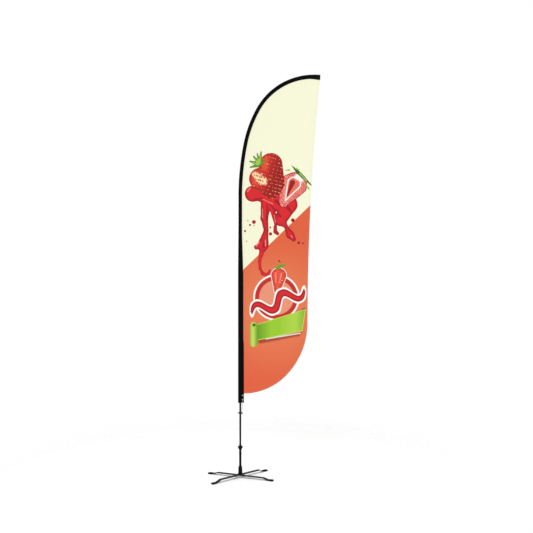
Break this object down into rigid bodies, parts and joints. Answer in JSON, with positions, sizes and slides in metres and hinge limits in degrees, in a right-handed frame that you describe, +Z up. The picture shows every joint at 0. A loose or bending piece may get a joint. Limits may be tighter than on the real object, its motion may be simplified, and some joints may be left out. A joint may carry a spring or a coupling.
{
  "type": "feather flag with pole",
  "caption": "Tall curved banner flag sleeved on a sectional pole that turns on a bearing hub over a folding flat-bar cross base.",
  "frame": {"origin": "on the floor, on the axis of the spindle and the cross pivot", "axes": "+Z up along the pole, +X from the pole towards the flag's free edge, -Y out of the flag's front"},
  "size_m": [0.9561, 0.411, 3.3967],
  "materials": {
    "black_steel": "black powder coat, satin",
    "black_rubber": "moulded black rubber",
    "zinc_steel": "zinc-plated fastener steel",
    "bearing_steel": "ground and polished bearing steel",
    "cage_nylon": "natural nylon",
    "white_nylon": "white nylon",
    "black_aluminium": "black anodised tube",
    "ferrule_metal": "turned aluminium",
    "black_fibreglass": "pultruded fibreglass, painted black",
    "black_plastic": "moulded nylon, fine grain",
    "black_sleeve": "black woven polyester",
    "black_webbing": "black polyester webbing",
    "printed_flag": "knitted polyester, dye-printed in cream and orange",
    "nickel": "nickel-plated brass",
    "pale_cord": "braided elastic cord, pale grey"
  },
  "bodies": {
    "hub": {"upper_cross_bar": "black_steel", "upper_foot_caps": "black_rubber", "pivot_bolt": "zinc_steel", "pivot_washer": "zinc_steel", "hub_foot_plug": "black_steel", "hub_housing": "black_steel", "hub_dust_seal": "black_rubber", "lower_bearing_outer_ring": "bearing_steel", "upper_bearing_outer_ring": "bearing_steel"},
    "lower_bar": {"lower_cross_bar": "black_steel", "lower_foot_caps": "black_rubber", "friction_disc": "white_nylon"},
    "spindle": {"spindle": "black_steel", "stop_collar": "black_steel", "spindle_circlip": "zinc_steel", "bearing_spacer": "zinc_steel", "lower_bearing_inner_ring": "bearing_steel", "upper_bearing_inner_ring": "bearing_steel"},
    "lower_cage": {"lower_bearing_balls": "bearing_steel", "lower_bearing_cage": "cage_nylon"},
    "upper_cage": {"upper_bearing_balls": "bearing_steel", "upper_bearing_cage": "cage_nylon"},
    "pole": {"pole_foot_cap": "black_plastic", "pole_section_1": "black_aluminium", "pole_section_2": "black_aluminium", "pole_section_3": "black_aluminium", "pole_section_4": "black_fibreglass", "ferrule_1": "ferrule_metal", "ferrule_2": "ferrule_metal", "ferrule_3": "ferrule_metal", "pole_tip_cap": "black_rubber", "pole_sleeve": "black_sleeve", "grommet_tab": "black_webbing", "sleeve_grommets": "nickel", "sleeve_tip_pocket": "black_webbing", "flag_panel": "printed_flag", "cord_hook_clip": "black_plastic", "hook_clamp_screw": "zinc_steel", "hook_clamp_nut": "zinc_steel", "tension_cord": "pale_cord", "cord_knot": "pale_cord", "cord_end_bead": "black_plastic"}
  },
  "joints": [
    {"name": "cross_fold", "type": "hinge", "parent": "hub", "child": "lower_bar", "pos_m": [0, 0, 0.0175], "axis": [0, 0, 1], "range_deg": [-106, 50]},
    {"name": "spindle_spin", "type": "hinge", "parent": "hub", "child": "spindle", "pos_m": [0, 0, 0.06], "axis": [0, 0, 1], "continuous": true},
    {"name": "lower_cage_spin", "type": "hinge", "parent": "hub", "child": "lower_cage", "pos_m": [0, 0, 0.04], "axis": [0, 0, 1], "continuous": true},
    {"name": "upper_cage_spin", "type": "hinge", "parent": "hub", "child": "upper_cage", "pos_m": [0, 0, 0.08], "axis": [0, 0, 1], "continuous": true},
    {"name": "pole_lift", "type": "slide", "parent": "spindle", "child": "pole", "axis": [0, 0, 1], "range_m": [0, 0.205]}
  ],
  "couplings": [
    {"joint": "lower_cage_spin", "follows": "spindle_spin", "ratio": 0.36772},
    {"joint": "upper_cage_spin", "follows": "spindle_spin", "ratio": 0.36772}
  ]
}
